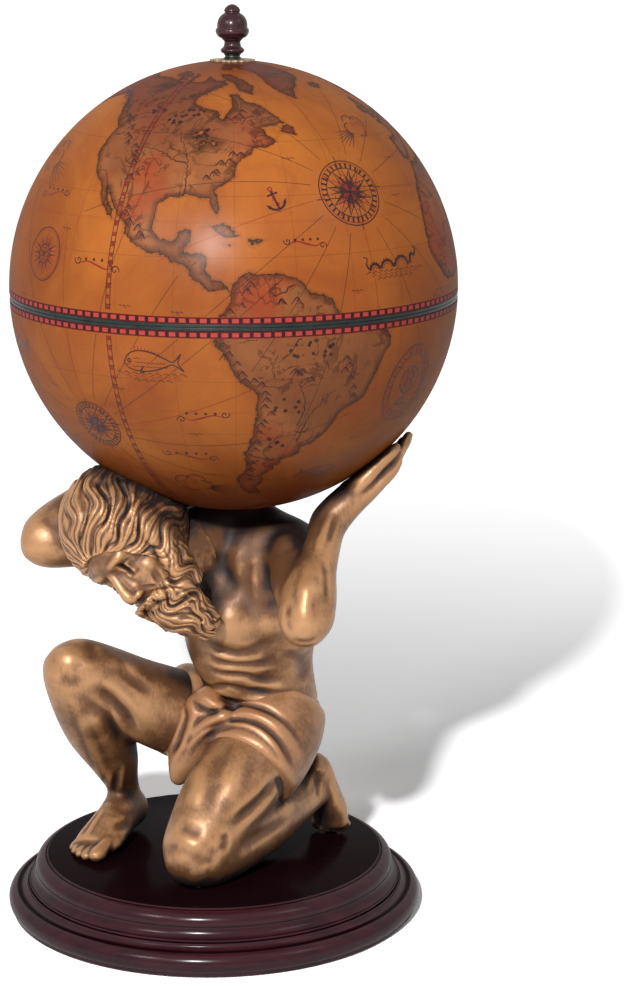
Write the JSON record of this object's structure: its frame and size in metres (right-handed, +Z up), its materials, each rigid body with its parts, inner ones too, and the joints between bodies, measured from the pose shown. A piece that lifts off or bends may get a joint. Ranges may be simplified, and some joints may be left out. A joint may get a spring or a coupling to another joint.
{
  "type": "floor globe bar",
  "caption": "Drinks cabinet inside a hinged globe, carried on the nape and hands of a kneeling figure on a turned round base.",
  "frame": {"origin": "on the floor, under the centre of the round base", "axes": "+Z up, +X to the viewer's right and -Y toward the viewer of the picture; the lid's hinge is at the back, +Y"},
  "size_m": [0.4351, 0.4339, 0.8716],
  "materials": {
    "felt": "dark pressed felt",
    "mahogany": "dark mahogany stain under satin varnish",
    "bronze": "cast resin in antique bronze paint, brown wash in the hollows",
    "map_lid": "moulded wood shell with an old-style map print under varnish",
    "map_bowl": "moulded wood shell with an old-style map print under varnish",
    "rim": "black-green lacquer",
    "inner_wood": "satin varnished veneer board",
    "brass": "polished",
    "steel": "zinc plated",
    "dark_metal": "black-green enamel",
    "pale_metal": "pale satin brass"
  },
  "bodies": {
    "stand": {"felt_disc": "felt", "base_plinth": "mahogany", "base_step": "mahogany", "base_screw_1": "steel", "base_screw_2": "steel", "base_screw_3": "steel", "figure_torso": "bronze", "figure_left_leg": "bronze", "figure_right_leg": "bronze", "figure_left_arm": "bronze", "figure_right_arm": "bronze", "figure_head": "bronze", "globe_bowl": "map_bowl", "bowl_rim": "rim", "mount_plate": "steel", "globe_washer_1": "steel", "globe_bolt_1": "steel", "globe_washer_2": "steel", "globe_bolt_2": "steel", "bottle_deck": "inner_wood", "glass_shelf": "inner_wood", "bottle_floor": "inner_wood", "upper_post_1": "inner_wood", "upper_post_2": "inner_wood", "upper_post_3": "inner_wood", "lower_post_1": "inner_wood", "lower_post_2": "inner_wood", "lower_post_3": "inner_wood", "hinge_bowl_leaf": "brass", "hinge_pin": "brass", "hinge_screw_1": "brass", "hinge_screw_2": "brass", "hinge_screw_3": "brass"},
    "lid": {"globe_lid": "map_lid", "lid_rim": "rim", "hinge_lid_leaf": "brass", "hinge_screw_4": "brass", "hinge_screw_5": "brass", "hinge_screw_6": "brass", "finial_rosette": "pale_metal", "finial_collar": "dark_metal", "finial_knob": "mahogany", "finial_washer": "steel", "finial_bolt": "steel"}
  },
  "joints": [
    {"name": "lid_hinge", "type": "hinge", "parent": "stand", "child": "lid", "pos_m": [0.0236, 0.2159, 0.60515], "axis": [-1, 0, 0], "range_deg": [0, 100]}
  ]
}
